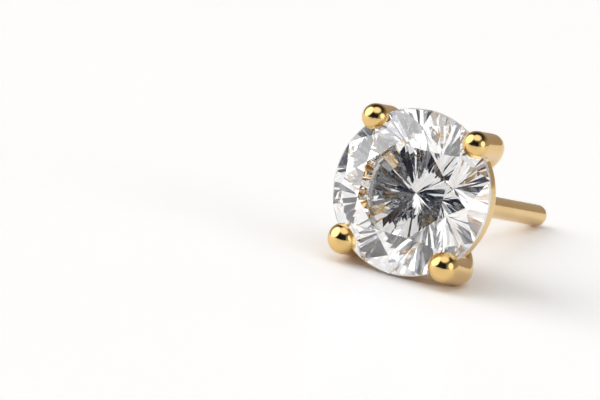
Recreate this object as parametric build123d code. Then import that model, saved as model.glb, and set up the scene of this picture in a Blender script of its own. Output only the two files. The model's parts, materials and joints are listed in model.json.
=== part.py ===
from build123d import *
import math
import os

os.makedirs("parts", exist_ok=True)

# Four-claw solitaire stud earring with a ball-tipped setting, in millimetres.
# It lies as it does on a table, on the bends of its two lower claws and the end of its
# post. The stone faces -Y and leans back, the post runs towards +Y, and +Z is up.
# The origin is on the table, under the middle of the bounding box.
# Everything is built about the axis of the stone first: the girdle is at Z = 0,
# the crown towards +Z, the post towards -Z, and +Y is the side that ends up on top.

# stone: round brilliant, about 1 carat, with twice the usual number of facets behind
STONE_R = 3.25
GIRDLE_H = 0.12
TABLE_SHARE = 0.57
CROWN_MAINS = 8
CROWN_DEG = 34.5
PAVILION_MAINS = 16
PAVILION_DEG = 41.0
STAR_SHARE = 0.55
LOWER_HALF_SHARE = 0.85
STONE_TURN_DEG = 22.5
SEAT_GAP = 0.03

# claws: round wire with a ball melted on its end, the lower pair a little heavier
CLAW_HALF_DEG = 41.5
BALL_CIRCLE_R = 3.24
BALL_Z = 0.25
CORNER_CIRCLE_R = 3.36
CORNER_Z = -1.60
MEET_Z = -3.60
BEND_R = 1.00
UPPER_WIRE_R = 0.52
UPPER_BALL_R = 0.55
LOWER_WIRE_R = 0.58
LOWER_BALL_R = 0.62

# rim: thin band just behind the girdle
RIM_OUTER_R = 3.08
RIM_INNER_R = 2.70
RIM_TOP_Z = -0.10
RIM_BOTTOM_Z = -1.20
RIM_ROUND = 0.12

# base and ear post
BASE_R = 0.75
BASE_Z = -3.75
POST_R = 0.45
POST_END_Z = -14.65

# each claw is a little nearer to the top or the bottom than a square would put it
UPPER_CLAWS = (90 - CLAW_HALF_DEG, 90 + CLAW_HALF_DEG)
LOWER_CLAWS = (270 - CLAW_HALF_DEG, 270 + CLAW_HALF_DEG)
TIP_Z = POST_END_Z + POST_R

# the middle line of a claw, seen from the side: the ball, the corner of the bend, and the axis
BALL_AT = Vector(BALL_CIRCLE_R, 0, BALL_Z)
CORNER_AT = Vector(CORNER_CIRCLE_R, 0, CORNER_Z)
MEET_AT = Vector(0, 0, MEET_Z)


def polar(angle, radius, z):
    return Vector(radius * math.cos(angle), radius * math.sin(angle), z)


def facet_plane(points, outward):
    """The plane through three points, as a point on it and its outward normal."""
    a, b, c = points
    normal = (b - a).cross(c - a).normalized()
    return a, (normal if normal.dot(outward) > 0 else normal * -1)


def side_facets(mains, main_deg, top, sign, joint_r):
    """The main facets of one side, and the two from each of them to the girdle."""
    tilt, half, found = math.radians(main_deg), math.pi / mains, []
    joint_z = sign * (top + (STONE_R - joint_r * math.cos(half)) * math.tan(tilt))
    for k in range(mains):
        angle = 2 * k * half
        normal = polar(angle, math.sin(tilt), sign * math.cos(tilt))
        edge = polar(angle, STONE_R, sign * top)
        found.append((edge, normal))
        for side in (1, -1):
            points = (
                edge,
                polar(angle + side * half, STONE_R, sign * top),
                polar(angle + side * half, joint_r, joint_z),
            )
            found.append(facet_plane(points, polar(angle + side * half / 2, 1, sign)))
    return found


def star_facets(table_r, table_z, joint_r):
    """The small facets round the table."""
    slope, half = math.tan(math.radians(CROWN_DEG)), math.pi / CROWN_MAINS
    joint_z = GIRDLE_H / 2 + (STONE_R - joint_r * math.cos(half)) * slope
    found = []
    for k in range(CROWN_MAINS):
        angle = 2 * k * half
        points = (
            polar(angle, table_r, table_z),
            polar(angle + 2 * half, table_r, table_z),
            polar(angle + half, joint_r, joint_z),
        )
        found.append(facet_plane(points, polar(angle + half, 1, 1)))
    return found


def brilliant(grow=0.0):
    """The cut stone, or with grow the seat that keeps that gap all round it."""
    table_r = TABLE_SHARE * STONE_R
    table_z = GIRDLE_H / 2 + (STONE_R - table_r) * math.tan(math.radians(CROWN_DEG))
    inner = table_r * math.cos(math.pi / CROWN_MAINS)
    crown_joint_r = inner + STAR_SHARE * (STONE_R - inner)
    pavilion_joint_r = (1 - LOWER_HALF_SHARE) * STONE_R
    facets = [(Vector(0, 0, table_z), Vector(0, 0, 1))]
    facets += star_facets(table_r, table_z, crown_joint_r)
    facets += side_facets(CROWN_MAINS, CROWN_DEG, GIRDLE_H / 2, 1, crown_joint_r)
    facets += side_facets(PAVILION_MAINS, PAVILION_DEG, GIRDLE_H / 2, -1, pavilion_joint_r)
    body = Cylinder(STONE_R + grow, 9)
    for point, normal in facets:
        body = split(body, bisect_by=Plane(origin=point + normal * grow, z_dir=normal), keep=Keep.BOTTOM)
    return Rot(0, 0, STONE_TURN_DEG) * body


def claw(angle, wire_r, ball_r):
    """Ball, straight wire behind it, a bend, and the arm that runs in to the axis."""
    path = FilletPolyline(BALL_AT, CORNER_AT, MEET_AT, radius=BEND_R)
    wire = sweep(Plane(origin=BALL_AT, z_dir=CORNER_AT - BALL_AT) * Circle(wire_r), path=path)
    return Rot(0, 0, angle) * (wire + Pos(*BALL_AT) * Sphere(ball_r))


def rim():
    """Band behind the girdle, its upper face sloped like the pavilion above it."""
    slope = math.tan(math.radians(PAVILION_DEG))
    seat_z = RIM_TOP_Z - (RIM_OUTER_R - RIM_INNER_R) * slope
    outline = Polyline(
        (RIM_OUTER_R, 0, RIM_TOP_Z),
        (RIM_OUTER_R, 0, RIM_BOTTOM_Z),
        (RIM_INNER_R, 0, RIM_BOTTOM_Z),
        (RIM_INNER_R, 0, seat_z),
        close=True,
    )
    band = revolve(make_face(outline), axis=Axis.Z)
    lower = [edge for edge in band.edges() if abs(edge.center().Z - RIM_BOTTOM_Z) < 1e-6]
    return fillet(lower, RIM_ROUND)


def post():
    """Straight ear post with a rounded end, and the base it stands on."""
    length = BASE_Z - TIP_Z
    rod = Pos(0, 0, (BASE_Z + TIP_Z) / 2) * Cylinder(POST_R, length)
    return rod + Pos(0, 0, TIP_Z) * Sphere(POST_R) + Pos(0, 0, BASE_Z) * Sphere(BASE_R)


def setting():
    """All the gold, soldered into one, with the seat of the stone cut out of it."""
    upper = [claw(angle, UPPER_WIRE_R, UPPER_BALL_R) for angle in UPPER_CLAWS]
    lower = [claw(angle, LOWER_WIRE_R, LOWER_BALL_R) for angle in LOWER_CLAWS]
    body = (upper[0] + upper[1]) + (lower[0] + lower[1]) + post() + rim()
    return body - brilliant(SEAT_GAP)


def rim_bottom(lean):
    """Height of the rim's lowest point from the girdle's middle."""
    ring_r, ring_z = RIM_OUTER_R - RIM_ROUND, RIM_BOTTOM_Z + RIM_ROUND
    return -ring_r * math.cos(lean) + ring_z * math.sin(lean) - RIM_ROUND


def claw_bottom(lean):
    """Height of the lowest point on the bends of the lower claws from the girdle's middle."""
    to_ball, to_meet = (BALL_AT - CORNER_AT).normalized(), (MEET_AT - CORNER_AT).normalized()
    half = math.radians(to_ball.get_angle(to_meet)) / 2
    bend_middle = CORNER_AT + (to_ball + to_meet).normalized() * (BEND_R / math.sin(half))
    across, along = math.cos(math.radians(CLAW_HALF_DEG)) * math.cos(lean), math.sin(lean)
    middle = -bend_middle.X * across + bend_middle.Z * along
    return middle - BEND_R * math.hypot(across, along) - LOWER_WIRE_R


def halving(still_short, high):
    """The angle from 0 to high at which still_short turns false."""
    low = 0.0
    for _ in range(60):
        angle = (low + high) / 2
        low, high = (angle, high) if still_short(angle) else (low, angle)
    return (low + high) / 2


# the lean at which the lower claws and the post end are level
lean = halving(lambda angle: claw_bottom(angle) < TIP_Z * math.sin(angle) - POST_R, math.radians(30))
rest = Rot(90 - math.degrees(lean), 0, 0)
placed = {"stone": rest * brilliant(), "setting": rest * setting()}
box = Compound(list(placed.values())).bounding_box()
shift = Pos(-(box.min.X + box.max.X) / 2, -(box.min.Y + box.max.Y) / 2, -box.min.Z)
for name, shape in placed.items():
    export_step(shift * shape, f"parts/{name}.step")

axis = Vector(0, math.cos(lean), -math.sin(lean))
print("lean", round(math.degrees(lean), 4))
print("rim above the table by", round(rim_bottom(lean) - claw_bottom(lean), 4))
print("girdle middle", tuple(shift.position))
print("post end", tuple(Vector(*shift.position) + axis * -POST_END_Z), "points along", tuple(axis))
for name, shape in placed.items():
    print(name, "volume", round(shape.volume, 3), "faces", len(shape.faces()))
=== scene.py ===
# %% [markdown]
# # A solitaire stud earring, modelled and finished in Blender
#
# The real stud is a round brilliant held by four claws. A goldsmith solders four lengths of
# round wire to a small base, lays a thin gallery rim inside them for the stone to sit on, melts
# a ball on the end of each wire and presses the balls over the edge of the stone. The straight
# ear post is soldered to the back of the base. It lies on a table as it does by itself: on its
# two lower claws and the end of its post.
#
# The measured parts come first. They fix the size and the place of every piece that is modelled here.
# Only the finishes, the light and the softer forms are given by the script's own numbers.

import json
import math

import bpy
from mathutils import Matrix, Quaternion, Vector


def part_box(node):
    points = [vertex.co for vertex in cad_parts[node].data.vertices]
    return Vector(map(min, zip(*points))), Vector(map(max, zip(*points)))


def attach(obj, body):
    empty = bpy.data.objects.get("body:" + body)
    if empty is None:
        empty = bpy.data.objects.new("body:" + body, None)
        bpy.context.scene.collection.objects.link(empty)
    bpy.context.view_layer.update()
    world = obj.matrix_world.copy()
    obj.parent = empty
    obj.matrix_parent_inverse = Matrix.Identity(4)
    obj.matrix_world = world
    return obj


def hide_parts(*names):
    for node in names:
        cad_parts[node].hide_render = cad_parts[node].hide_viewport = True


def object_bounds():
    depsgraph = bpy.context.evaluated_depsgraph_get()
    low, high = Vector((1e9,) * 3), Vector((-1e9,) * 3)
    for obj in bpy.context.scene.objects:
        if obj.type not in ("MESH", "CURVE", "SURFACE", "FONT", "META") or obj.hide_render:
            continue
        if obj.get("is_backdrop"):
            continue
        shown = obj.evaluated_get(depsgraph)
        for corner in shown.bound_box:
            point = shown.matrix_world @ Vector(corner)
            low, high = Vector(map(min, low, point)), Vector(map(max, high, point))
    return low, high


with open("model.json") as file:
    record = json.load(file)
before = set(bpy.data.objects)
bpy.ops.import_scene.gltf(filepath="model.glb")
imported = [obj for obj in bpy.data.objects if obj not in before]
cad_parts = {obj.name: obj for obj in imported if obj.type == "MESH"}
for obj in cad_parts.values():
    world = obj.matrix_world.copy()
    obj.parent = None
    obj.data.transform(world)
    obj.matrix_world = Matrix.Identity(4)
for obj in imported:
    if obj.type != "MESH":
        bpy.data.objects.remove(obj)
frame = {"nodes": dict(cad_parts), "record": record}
cad_low, cad_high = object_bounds()
for name in frame["nodes"]:
    low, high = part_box(name)
    print(name, "from", [round(v * 1000, 2) for v in low], "to", [round(v * 1000, 2) for v in high], "mm")

# %% [markdown]
# ## The stone's own frame
#
# A leaning thing is easiest to build upright. So the new pieces are modelled in the stone's own
# frame, one unit to the millimetre: the middle of the girdle is the origin, the table faces +Z,
# the post runs towards -Z, and +Y is the side that ends up on top. One matrix then lays a
# finished piece on the table. The post's mount gives it the direction of the axis and, a known
# distance behind the stone, a point on it.

# %% Where the stud lies
MOUNT_BEHIND_GIRDLE = 9.275

mount = frame["record"]["mounts"][0]
axis = Vector(mount["axis"]).normalized()
girdle_middle = Vector(mount["pos_m"]) - axis * MOUNT_BEHIND_GIRDLE / 1000
lean = math.asin(-axis.z)
to_table = (
    Matrix.Translation(girdle_middle)
    @ Matrix.Rotation(math.pi / 2 - lean, 4, "X")
    @ Matrix.Scale(0.001, 4)
)
print("girdle middle", [round(v * 1000, 3) for v in girdle_middle], "mm")
print("leaning back", round(math.degrees(lean), 2), "degrees")

# %% [markdown]
# ## The camera
#
# A long lens from a quarter of a metre away gives the flat perspective of a jeweller's catalogue.
# The camera stands a little to the right of the stone and a little above it, so that the post
# shows behind. It is rolled by about eleven degrees, and it looks a little to the left of the
# stone, so that the stone stands in the right half of the frame.

# %% Place the camera
DISTANCE = 0.25
AZIMUTH_DEG = 21.6
ELEVATION_DEG = 12.4
ROLL_DEG = 10.9
FRAME_WIDTH = 0.02312
STONE_RIGHT_OF_MIDDLE = 0.0043
STONE_ABOVE_MIDDLE = 0.0003

azimuth, elevation = math.radians(AZIMUTH_DEG), math.radians(ELEVATION_DEG)
back = Vector((
    math.sin(azimuth) * math.cos(elevation),
    -math.cos(azimuth) * math.cos(elevation),
    math.sin(elevation),
))
facing = Quaternion(back, math.radians(ROLL_DEG)) @ (-back).to_track_quat("-Z", "Y")
aim_point = girdle_middle - facing @ Vector((STONE_RIGHT_OF_MIDDLE, STONE_ABOVE_MIDDLE, 0))
camera_place = girdle_middle + back * DISTANCE
look = (aim_point - camera_place).normalized()

bpy.ops.object.select_all(action="DESELECT")
bpy.ops.object.camera_add(location=camera_place)
camera = bpy.context.object
camera.rotation_mode = "QUATERNION"
camera.rotation_quaternion = (-back).rotation_difference(look) @ facing
camera.data.lens = camera.data.sensor_width * DISTANCE / FRAME_WIDTH
camera.data.clip_start, camera.data.clip_end = 0.01, 20
bpy.context.scene.camera = camera
print("lens", round(camera.data.lens, 1), "mm")

# %% [markdown]
# ## Two small helpers
#
# Colours are written as sRGB hex values, as a colour picker gives them, and Blender's sockets
# want linear light, so one function turns the one into the other. The other helper adds a node
# to a material with its settings and its links in one call, which keeps each material short
# enough to read.

# %% Colour and node helpers
def linear(hex_colour):
    """An sRGB hex colour as linear light, with full opacity."""
    parts = [int(hex_colour[i:i + 2], 16) / 255 for i in (1, 3, 5)]
    return (*[v / 12.92 if v <= 0.04045 else ((v + 0.055) / 1.055) ** 2.4 for v in parts], 1.0)


def add_node(tree, kind, links=None, inputs=None, **settings):
    """A node of this kind, with its settings, its input values and the outputs that feed it."""
    node = tree.nodes.new(kind)
    for key, value in settings.items():
        setattr(node, key, value)
    for key, value in (inputs or {}).items():
        node.inputs[key].default_value = value
    for key, source in (links or {}).items():
        tree.links.new(source, node.inputs[key])
    return node


def new_material(title):
    """An empty material and its node tree, with the output node ready."""
    material = bpy.data.materials.new(title)
    material.use_nodes = True
    material.node_tree.nodes.clear()
    return material, material.node_tree


print("white is", linear("#FFFFFF"), "and a middle grey is", linear("#808080"))

# %% [markdown]
# ## Finish 1: polished yellow gold
#
# 14 carat gold is filed, then polished on a felt wheel. It mirrors its surroundings, but
# not like glass: the wheel leaves hair-fine scratches and a faint waviness, so highlights have
# soft edges. Its colour lies in the reflection itself, so it is the base colour of a metal, and
# a second, slightly redder tone drifts through it where the alloy and the solder differ. The
# scratches are a few hundredths of a millimetre apart on the real thing. Here they are drawn
# 0.06 mm apart, because finer ones wouldn't show.

# %% Material: polished yellow gold
SCRATCH_SPACING = 0.00006
SCRATCH_STRETCH = 0.12
WAVE_LENGTH = 0.0006
TONE_DRIFT = 0.0022
POLISH = (0.10, 0.19)

polished_gold, tree = new_material("polished_yellow_gold")
coords = add_node(tree, "ShaderNodeTexCoord")
tone = add_node(
    tree, "ShaderNodeTexNoise", {"Vector": coords.outputs["Object"]},
    {"Scale": 1 / TONE_DRIFT, "Detail": 2.0},
)
gold_colour = add_node(
    tree, "ShaderNodeMix", {"Factor": tone.outputs["Fac"]},
    {"A": linear("#E8C88B"), "B": linear("#DCB671")}, data_type="RGBA",
)
along = add_node(
    tree, "ShaderNodeMapping", {"Vector": coords.outputs["Object"]},
    {"Scale": (1 / SCRATCH_SPACING, SCRATCH_STRETCH / SCRATCH_SPACING, 1 / SCRATCH_SPACING)},
)
scratches = add_node(
    tree, "ShaderNodeTexNoise", {"Vector": along.outputs["Vector"]}, {"Scale": 1.0, "Detail": 3.0},
)
roughness = add_node(
    tree, "ShaderNodeMapRange", {"Value": scratches.outputs["Fac"]},
    {"From Min": 0.3, "From Max": 0.7, "To Min": POLISH[0], "To Max": POLISH[1]},
)
waves = add_node(
    tree, "ShaderNodeTexNoise", {"Vector": coords.outputs["Object"]},
    {"Scale": 1 / WAVE_LENGTH, "Detail": 1.0},
)
wave_bump = add_node(
    tree, "ShaderNodeBump", {"Height": waves.outputs["Fac"]}, {"Strength": 0.25, "Distance": 0.000015},
)
scratch_bump = add_node(
    tree, "ShaderNodeBump", {"Height": scratches.outputs["Fac"], "Normal": wave_bump.outputs["Normal"]},
    {"Strength": 0.15, "Distance": 0.000002},
)
metal = add_node(
    tree, "ShaderNodeBsdfPrincipled",
    {
        "Base Color": gold_colour.outputs["Result"],
        "Roughness": roughness.outputs["Result"],
        "Normal": scratch_bump.outputs["Normal"],
    },
    {"Metallic": 1.0},
)
add_node(tree, "ShaderNodeOutputMaterial", {"Surface": metal.outputs["BSDF"]})
print(polished_gold.name, "has", len(tree.nodes), "nodes")

# %% [markdown]
# ## Finish 2: cut and polished diamond
#
# A cutter grinds each facet flat and polishes it until it shows no marks, and only rounds the
# girdle, which stays faintly frosted. A diamond bends light so strongly, at an index of 2.42,
# that most of what enters through the table is thrown back out of the crown in splinters of
# light and dark. The renderer works that out by itself from the facets, as long as light may
# bounce inside often enough. So the shader is plain clear glass of that index. The frosted
# girdle is a band of roughness, found by its height in the stone's own frame.

# %% Material: cut and polished diamond
DIAMOND_IOR = 2.42
GIRDLE_HALF_HEIGHT = 0.00006
FROSTED = 0.3

diamond, tree = new_material("cut_and_polished_diamond")
coords = add_node(tree, "ShaderNodeTexCoord")
behind_middle = add_node(
    tree, "ShaderNodeVectorMath", {0: coords.outputs["Object"]}, {1: girdle_middle},
    operation="SUBTRACT",
)
height = add_node(
    tree, "ShaderNodeVectorMath", {0: behind_middle.outputs["Vector"]}, {1: axis},
    operation="DOT_PRODUCT",
)
off_girdle = add_node(tree, "ShaderNodeMath", {0: height.outputs["Value"]}, operation="ABSOLUTE")
on_girdle = add_node(
    tree, "ShaderNodeMath", {0: off_girdle.outputs["Value"]}, {1: GIRDLE_HALF_HEIGHT},
    operation="LESS_THAN",
)
frosting = add_node(
    tree, "ShaderNodeMath", {0: on_girdle.outputs["Value"]}, {1: FROSTED}, operation="MULTIPLY",
)
clear = add_node(
    tree, "ShaderNodeBsdfPrincipled", {"Roughness": frosting.outputs["Value"]},
    {"Base Color": linear("#FFFFFF"), "IOR": DIAMOND_IOR, "Transmission Weight": 1.0},
)
add_node(tree, "ShaderNodeOutputMaterial", {"Surface": clear.outputs["BSDF"]})
print(diamond.name, "has", len(tree.nodes), "nodes")

# %% [markdown]
# ## Finish 3: the white table top
#
# The stud lies on a smooth white board with a faint sheen. Near the stud the board shows the light that
# falls on it, with its shadows. A catalogue retoucher then lifts the white of the paper to pure white,
# and the light path node does the same here: rays from the camera, from a mirroring surface and from
# inside the stone see a little more white than there is, and the light on the metal stays as it was.
# Where the board is nearly touched, an occlusion mask fades the lift to a warm brown. That is painted
# shade, which makes the board under and beside the stud darker than its cast shadow alone. It also holds
# a painted warm glow that stands for light thrown off the gold.

# %% Material: white painted board
SHADE_REACH = 0.005
LIFT = 0.28
MOTTLE_SIZE = 0.025

board_white, tree = new_material("white_painted_board")
coords = add_node(tree, "ShaderNodeTexCoord")
mottle = add_node(
    tree, "ShaderNodeTexNoise", {"Vector": coords.outputs["Object"]},
    {"Scale": 1 / MOTTLE_SIZE, "Detail": 2.0},
)
white = add_node(
    tree, "ShaderNodeMix", {"Factor": mottle.outputs["Fac"]},
    {"A": linear("#F8F7F6"), "B": linear("#FBFBFB")}, data_type="RGBA",
)
board = add_node(
    tree, "ShaderNodeBsdfPrincipled", {"Base Color": white.outputs["Result"]},
    {"Roughness": 0.4, "Specular IOR Level": 0.2},
)
# Painted shade: near the stud the occlusion mask turns the lift from white to a warm brown, a painted
# darkening with a painted gold-coloured glow in it.
openness = add_node(tree, "ShaderNodeAmbientOcclusion", inputs={"Distance": SHADE_REACH})
painted_warm_shade = add_node(
    tree, "ShaderNodeMix", {"Factor": openness.outputs["AO"]},
    {"A": linear("#6B4718"), "B": linear("#FFFFFF")}, data_type="RGBA",
)
rays = add_node(tree, "ShaderNodeLightPath")
seen = add_node(
    tree, "ShaderNodeMath",
    {0: rays.outputs["Is Camera Ray"], 1: rays.outputs["Is Glossy Ray"]}, operation="MAXIMUM",
)
seen = add_node(
    tree, "ShaderNodeMath", {0: seen.outputs["Value"], 1: rays.outputs["Is Transmission Ray"]},
    operation="MAXIMUM",
)
seen_lift = add_node(
    tree, "ShaderNodeMath", {0: seen.outputs["Value"]}, {1: LIFT}, operation="MULTIPLY",
)
lift = add_node(
    tree, "ShaderNodeEmission",
    {"Color": painted_warm_shade.outputs["Result"], "Strength": seen_lift.outputs["Value"]},
)
lifted = add_node(tree, "ShaderNodeAddShader", {0: board.outputs["BSDF"], 1: lift.outputs["Emission"]})
add_node(tree, "ShaderNodeOutputMaterial", {"Surface": lifted.outputs["Shader"]})
print(board_white.name, "has", len(tree.nodes), "nodes")

# %% [markdown]
# ## Selecting in code
#
# By hand one would click the faces to work on. In a script they are picked by where they are,
# so a small function selects the faces whose middle passes a test. Everything else is
# deselected first, because an operator acts on all that is selected.

# %% Selection helpers
def start_clean():
    """Back in object mode with nothing selected."""
    if bpy.context.object and bpy.context.object.mode != "OBJECT":
        bpy.ops.object.mode_set(mode="OBJECT")
    bpy.ops.object.select_all(action="DESELECT")


def pick_faces(piece, test):
    """In edit mode, selects just the faces whose middle passes the test."""
    bpy.ops.object.mode_set(mode="EDIT")
    bpy.ops.mesh.select_mode(type="FACE")
    bpy.ops.mesh.select_all(action="DESELECT")
    bpy.ops.object.mode_set(mode="OBJECT")
    for face in piece.data.polygons:
        face.select = test(face.center)
    bpy.ops.object.mode_set(mode="EDIT")


def apply_modifier(piece, kind, **settings):
    """Adds a modifier with these settings and applies it."""
    bpy.context.view_layer.objects.active = piece
    modifier = piece.modifiers.new(kind.lower(), kind)
    for key, value in settings.items():
        setattr(modifier, key, value)
    bpy.ops.object.modifier_apply(modifier=modifier.name)


start_clean()
print("helpers ready")

# %% [markdown]
# ## A claw: the wire
#
# A claw is round wire that stands along the edge of the stone, splays out a little towards the
# back, and then bends in to the base. It could be a curve with a bevel, but a disc that is
# extruded, spun round the bend and extruded again is what bending wire does, and it gives clean
# rings of faces. The wire is as wide as the ball where it leaves it and thins towards the bend,
# so that ball and claw run into each other in one comma shape. It is made in the +X direction.
# First the bend is worked out: where the two straight legs end, and the point that the bend
# turns about.

# %% Work out the bend
BALL_AT = Vector((3.24, 0, 0.25))
CORNER_AT = Vector((3.36, 0, -1.60))
MEET_AT = Vector((0, 0, -3.60))
BEND_R = 1.00

first_leg, arm = CORNER_AT - BALL_AT, MEET_AT - CORNER_AT
turn = first_leg.angle(arm)
cut_off = BEND_R * math.tan(turn / 2)
inward = (arm.normalized() - first_leg.normalized()).normalized()
bend_middle = CORNER_AT + inward * BEND_R / math.cos(turn / 2)
print("the wire turns by", round(math.degrees(turn), 1), "degrees")
print("it turns about", [round(v, 2) for v in bend_middle])


# %% Model the wire of a claw
def bent_wire(wire_r, ball_r):
    """One closed length of round wire, from the middle of the ball to the axis of the stone."""
    start_clean()
    splay = math.atan2(first_leg.x, -first_leg.z)
    bpy.ops.mesh.primitive_circle_add(
        vertices=48, radius=ball_r, fill_type="NGON", location=BALL_AT, rotation=(0, -splay, 0),
    )
    wire = bpy.context.object
    bpy.ops.object.transform_apply(location=True, rotation=True, scale=True)
    bpy.ops.object.mode_set(mode="EDIT")
    bpy.ops.mesh.select_all(action="SELECT")
    bpy.ops.mesh.extrude_region_move(
        TRANSFORM_OT_translate={"value": first_leg.normalized() * (first_leg.length - cut_off)},
    )
    thinner = wire_r / ball_r
    bend_start = CORNER_AT - first_leg.normalized() * cut_off
    bpy.ops.transform.resize(value=(thinner, thinner, thinner), center_override=bend_start)
    bpy.ops.mesh.spin(steps=20, angle=turn, center=bend_middle, axis=(0, -1, 0))
    bpy.ops.mesh.extrude_region_move(
        TRANSFORM_OT_translate={"value": arm.normalized() * (arm.length - cut_off)},
    )
    bpy.ops.mesh.select_all(action="SELECT")
    bpy.ops.mesh.normals_make_consistent(inside=False)
    bpy.ops.object.mode_set(mode="OBJECT")
    return wire


print("one helper for all four wires")

# %% [markdown]
# ## A claw: the ball
#
# Held in the flame, the end of the wire melts and draws up into a ball. It isn't quite round: it
# flows back down the wire, and the pusher that presses it over the stone flattens its inner
# side. So a sphere is added where the wire starts, its lower half is stretched along the wire,
# and its inner half is pressed in a little.

# %% Model the ball of a claw
FLOW_BACK = 2.0
PRESSED = 0.97


def melted_ball(ball_r):
    """The ball on the end of a wire."""
    start_clean()
    bpy.ops.mesh.primitive_uv_sphere_add(segments=48, ring_count=32, radius=ball_r, location=BALL_AT)
    ball = bpy.context.object
    bpy.ops.object.transform_apply(location=True, rotation=True, scale=True)
    pick_faces(ball, lambda middle: middle.z < BALL_AT.z)
    bpy.ops.transform.resize(value=(1, 1, FLOW_BACK), center_override=BALL_AT)
    pick_faces(ball, lambda middle: middle.x < BALL_AT.x)
    bpy.ops.transform.resize(value=(PRESSED, 1, 1), center_override=BALL_AT)
    bpy.ops.object.mode_set(mode="OBJECT")
    return ball


print("a ball flows back", round((FLOW_BACK - 1) * 100), "percent of its radius")

# %% [markdown]
# ## Four claws
#
# The two lower claws are a little heavier than the upper two, so that they reach the table beside
# the rim and the stud lies steadily on them. One of each size is modelled and then copied. Each
# claw stands a little nearer to the top or the bottom than an exact square would put it.

# %% Join and copy the claws
CLAW_HALF_DEG = 41.5
UPPER_WIRE_R, UPPER_BALL_R = 0.52, 0.55
LOWER_WIRE_R, LOWER_BALL_R = 0.58, 0.62

PAIRS = ((90, UPPER_WIRE_R, UPPER_BALL_R), (270, LOWER_WIRE_R, LOWER_BALL_R))

claws = []
for side_deg, wire_r, ball_r in PAIRS:
    wire, ball = bent_wire(wire_r, ball_r), melted_ball(ball_r)
    start_clean()
    wire.select_set(True)
    ball.select_set(True)
    bpy.context.view_layer.objects.active = wire
    bpy.ops.object.join()
    bpy.ops.object.duplicate(linked=False)
    for piece, off_side in ((wire, -CLAW_HALF_DEG), (bpy.context.object, CLAW_HALF_DEG)):
        piece.rotation_euler.z = math.radians(side_deg + off_side)
        claws.append(piece)
start_clean()
for piece in claws:
    piece.select_set(True)
bpy.context.view_layer.objects.active = claws[0]
bpy.ops.object.transform_apply(location=True, rotation=True, scale=True)
reach = max(vertex.co.length for vertex in claws[0].data.vertices)
print(len(claws), "claws, the first reaches out to", round(reach, 2), "mm")

# %% [markdown]
# ## The gallery rim
#
# The rim is a thin band just behind the girdle. Its upper face slopes with the stone, which
# sits on it. A ring of edges at the outer corner is extruded down the outside, in along the
# bottom, and up to where the slope starts, and the last edge bridges back to the first, so the
# band is one closed loop of faces.

# %% Model the rim
RIM_OUTER_R = 3.08
RIM_INNER_R = 2.70
RIM_TOP_Z = -0.10
RIM_BOTTOM_Z = -1.20
RIM_ROUND = 0.12
PAVILION_DEG = 41.0
seat_z = RIM_TOP_Z - (RIM_OUTER_R - RIM_INNER_R) * math.tan(math.radians(PAVILION_DEG))
narrower = RIM_INNER_R / RIM_OUTER_R

start_clean()
bpy.ops.mesh.primitive_circle_add(
    vertices=192, radius=RIM_OUTER_R, fill_type="NOTHING", location=(0, 0, RIM_TOP_Z),
)
rim = bpy.context.object
bpy.ops.object.transform_apply(location=True, rotation=True, scale=True)
bpy.ops.object.mode_set(mode="EDIT")
bpy.ops.mesh.select_mode(type="EDGE")
bpy.ops.mesh.select_all(action="SELECT")
bpy.ops.mesh.extrude_edges_move(TRANSFORM_OT_translate={"value": (0, 0, RIM_BOTTOM_Z - RIM_TOP_Z)})
bpy.ops.mesh.extrude_edges_move()
bpy.ops.transform.resize(value=(narrower, narrower, 1), center_override=(0, 0, RIM_BOTTOM_Z))
bpy.ops.mesh.extrude_edges_move(TRANSFORM_OT_translate={"value": (0, 0, seat_z - RIM_BOTTOM_Z)})
bpy.ops.object.mode_set(mode="OBJECT")
uses = [key for face in rim.data.polygons for key in face.edge_keys]
for edge in rim.data.edges:
    edge.select = uses.count(edge.key) == 1
bpy.ops.object.mode_set(mode="EDIT")
bpy.ops.mesh.bridge_edge_loops()
bpy.ops.mesh.select_all(action="SELECT")
bpy.ops.mesh.normals_make_consistent(inside=False)
bpy.ops.object.mode_set(mode="OBJECT")
SHARP = math.radians(40)
apply_modifier(rim, "BEVEL", width=RIM_ROUND, segments=4, limit_method="ANGLE", angle_limit=SHARP)
print("rim has", len(rim.data.polygons), "faces")

# %% [markdown]
# ## The base and the ear post
#
# The claws meet in a rounded base, and the post is soldered to it. A post is drawn wire whose end
# is rounded so that it passes through the ear. It starts as a short rod inside the base. Its
# end face is extruded to the full length, and that end's edge is bevelled round.

# %% Model the base and the post
BASE_R = 0.75
BASE_Z = -3.75
BASE_FLATNESS = 0.9
POST_R = 0.45
POST_END_Z = -14.65
POST_END_ROUND = 0.98
STUB_HALF = 0.1

start_clean()
bpy.ops.mesh.primitive_uv_sphere_add(segments=48, ring_count=32, radius=BASE_R, location=(0, 0, BASE_Z))
base = bpy.context.object
bpy.ops.object.transform_apply(location=True, rotation=True, scale=True)
pick_faces(base, lambda middle: middle.z > BASE_Z)
bpy.ops.transform.resize(value=(1, 1, BASE_FLATNESS), center_override=(0, 0, BASE_Z))

start_clean()
bpy.ops.mesh.primitive_cylinder_add(
    vertices=64, radius=POST_R, depth=2 * STUB_HALF, location=(0, 0, BASE_Z),
)
post = bpy.context.object
bpy.ops.object.transform_apply(location=True, rotation=True, scale=True)
pick_faces(post, lambda middle: middle.z < BASE_Z - STUB_HALF / 2)
bpy.ops.mesh.extrude_region_move(
    TRANSFORM_OT_translate={"value": (0, 0, POST_END_Z - (BASE_Z - STUB_HALF))},
)
bpy.ops.mesh.select_mode(type="EDGE")
bpy.ops.mesh.bevel(offset=POST_R * POST_END_ROUND, segments=12, profile=0.5, affect="EDGES")
bpy.ops.object.mode_set(mode="OBJECT")
print("post reaches", round(min(v.co.z for v in post.data.vertices), 2), "mm behind the girdle")

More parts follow.
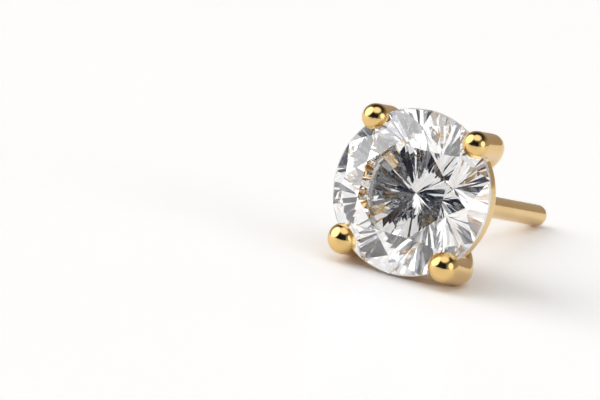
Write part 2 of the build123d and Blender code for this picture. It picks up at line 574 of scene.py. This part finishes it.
# %% [markdown]
# ## Solder it into one
#
# Solder runs into every joint and leaves a soft hollow there instead of a sharp crease. A voxel
# remesh does the same to a mesh: it makes one closed skin over all the pieces, and two dozen
# gentle passes of smoothing draw the creases out into small fillets. They also draw the skin in
# by about a hundredth of a millimetre. The voxels are about a twentieth of a millimetre, fine
# enough for round wire and coarse enough to stay a light mesh.

# %% Join, remesh and smooth
VOXEL = 0.048
SMOOTHING_PASSES = 24

start_clean()
for piece in [*claws, rim, base, post]:
    piece.select_set(True)
bpy.context.view_layer.objects.active = rim
bpy.ops.object.join()
setting = bpy.context.object
setting.name = setting.data.name = "claw_setting_and_post"
apply_modifier(setting, "REMESH", mode="VOXEL", voxel_size=VOXEL, use_smooth_shade=True)
apply_modifier(setting, "SMOOTH", factor=0.5, iterations=SMOOTHING_PASSES)
print("one skin with", len(setting.data.polygons), "faces")

# %% [markdown]
# ## Cut the seat
#
# The setter cuts a seat in the claws and the rim, and the stone sits in it with hardly any gap.
# Here the stone itself is the cutter: a copy of it, a hair larger. Its faces come as loose
# triangles, so the copy is merged by distance before a boolean can use it.

# %% Cut the stone's seat out of the gold
STONE_R = 3.25
SEAT_GAP = 0.03
MERGE_DISTANCE = 0.0005

start_clean()
stone = frame["nodes"]["stone"]
cutter = stone.copy()
cutter.data = stone.data.copy()
bpy.context.collection.objects.link(cutter)
cutter.parent = None
cutter.matrix_world = to_table.inverted()
cutter.select_set(True)
bpy.context.view_layer.objects.active = cutter
bpy.ops.object.transform_apply(location=True, rotation=True, scale=True)
bpy.ops.object.mode_set(mode="EDIT")
bpy.ops.mesh.select_all(action="SELECT")
bpy.ops.mesh.remove_doubles(threshold=MERGE_DISTANCE)
bpy.ops.mesh.normals_make_consistent(inside=False)
grow = 1 + SEAT_GAP / STONE_R
bpy.ops.transform.resize(value=(grow, grow, grow), center_override=(0, 0, 0))
bpy.ops.object.mode_set(mode="OBJECT")
apply_modifier(setting, "BOOLEAN", operation="DIFFERENCE", object=cutter, solver="EXACT")
bpy.data.objects.remove(cutter)
print("after the seat is cut:", len(setting.data.polygons), "faces")

# %% [markdown]
# ## Lay the setting on the table and finish both pieces
#
# The finished skin is laid down by the one matrix, and that place is applied to its mesh, so
# its object stays at the origin as the measured parts do. It stands for the measured setting and
# rides with it. The measured stone has its facets already, so it stays and only gets its material.

# %% Place, shade and assign
start_clean()
setting.matrix_world = to_table
setting.select_set(True)
bpy.context.view_layer.objects.active = setting
bpy.ops.object.transform_apply(location=True, rotation=True, scale=True)
bpy.ops.object.shade_smooth_by_angle(angle=math.radians(35))
setting.data.materials.clear()
setting.data.materials.append(polished_gold)
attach(setting, "root")
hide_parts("setting")
for slot in stone.material_slots:
    slot.material = diamond
print("setting box", [round(v * 1000, 2) for v in setting.dimensions], "mm")

# %% [markdown]
# ## The table top
#
# The board is large, so that the view always ends on it. It lies a hundredth of a millimetre
# under the stud.

# %% Lay the board
BOARD_SIZE = 3.0
BOARD_BELOW = 0.00001

start_clean()
bpy.ops.mesh.primitive_plane_add(size=BOARD_SIZE, location=(0, 0, -BOARD_BELOW))
board_top = bpy.context.object
board_top.name = "white_board"
bpy.ops.object.transform_apply(location=True, rotation=True, scale=True)
board_top.data.materials.append(board_white)
board_top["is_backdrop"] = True
print("board is", round(board_top.dimensions.x, 2), "m wide")

# %% [markdown]
# ## The light
#
# Polished gold and a diamond show nothing but their surroundings, so the surroundings are what
# is lit here. The room is dark in front and overhead, and hazy along the horizon: cool at the
# sides, warm behind. A wide soft light hangs high on the left, a smaller one stands on the
# right, and a dim one is above. On each gold ball the lights make two highlights with a dark
# wedge between them, which stands on the edge of the white table. In the stone the same lights
# make the white splinters. A dark hood in front, which the table facet mirrors, makes the dark
# ones.

# %% Light the scene
DARK, HAZE, WARM_HAZE = linear("#1A202C"), linear("#ABB1BD"), linear("#B2A89C")
FRONT_DEG = (42, 50)
HOOD_DEG = (26, 30)
BEHIND_DEG = (50, 90)
HAZE_DEG = (12, 60)
GLOWS = (
    {"from": (-0.80, -0.37, 0.56), "deg": (29, 38), "strength": 2.3},
    {"from": (0.93, -0.10, 0.35), "deg": (18, 22), "strength": 1.8},
    {"from": (0.10, -0.25, 1.0), "deg": (20, 36), "strength": 1.4},
)

world = bpy.data.worlds.new("studio_room")
bpy.context.scene.world = world
world.use_nodes = True
tree = world.node_tree
tree.nodes.clear()
direction = add_node(tree, "ShaderNodeTexCoord").outputs["Generated"]


def fade(value, start, end):
    """0 below start, 1 above end, and a soft step between."""
    node = add_node(
        tree, "ShaderNodeMapRange", {"Value": value}, {"From Min": start, "From Max": end},
        interpolation_type="SMOOTHSTEP",
    )
    return node.outputs["Result"]


def off(towards, degrees):
    """0 in this direction and 1 away from it, with a soft step between the two angles."""
    along = add_node(
        tree, "ShaderNodeVectorMath", {0: direction}, {1: Vector(towards).normalized()},
        operation="DOT_PRODUCT",
    )
    angle = add_node(tree, "ShaderNodeMath", {0: along.outputs["Value"]}, operation="ARCCOSINE")
    return fade(angle.outputs["Value"], *[math.radians(v) for v in degrees])


def blend(factor, low, high):
    """The colour low where the factor is 0 and high where it is 1."""
    links, inputs = {"Factor": factor}, {}
    for socket, colour in (("A", low), ("B", high)):
        (inputs if isinstance(colour, tuple) else links)[socket] = colour
    return add_node(tree, "ShaderNodeMix", links, inputs, data_type="RGBA").outputs["Result"]


height = add_node(tree, "ShaderNodeSeparateXYZ", {"Vector": direction}).outputs["Z"]
haze = blend(off(axis, BEHIND_DEG), WARM_HAZE, HAZE)
haze = blend(fade(height, *[math.sin(math.radians(v)) for v in HAZE_DEG]), haze, DARK)
room = blend(off(-axis, FRONT_DEG), DARK, haze)
for glow in GLOWS:
    room = blend(off(glow["from"], glow["deg"]), (glow["strength"],) * 3 + (1.0,), room)
room = blend(off(-axis, HOOD_DEG), DARK, room)
sky = add_node(tree, "ShaderNodeBackground", {"Color": room}, {"Strength": 1.0})
add_node(tree, "ShaderNodeOutputWorld", {"Surface": sky.outputs["Background"]})

bpy.context.scene.view_settings.view_transform = "Standard"
bpy.context.scene.cycles.max_bounces = 32
bpy.context.scene.cycles.transmission_bounces = 32
bpy.context.scene.cycles.glossy_bounces = 32
print("a dark room with", len(GLOWS), "soft lights")

# %% [markdown]
# ## Print the two sizes
#
# The dressed stud should be as large as the measured one, so both boxes are printed side by side.

# %% Print the boxes
shown_low, shown_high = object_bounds()
for title, size in (("measured", cad_high - cad_low), ("dressed", shown_high - shown_low)):
    print(title, [round(v * 1000, 2) for v in size], "mm")
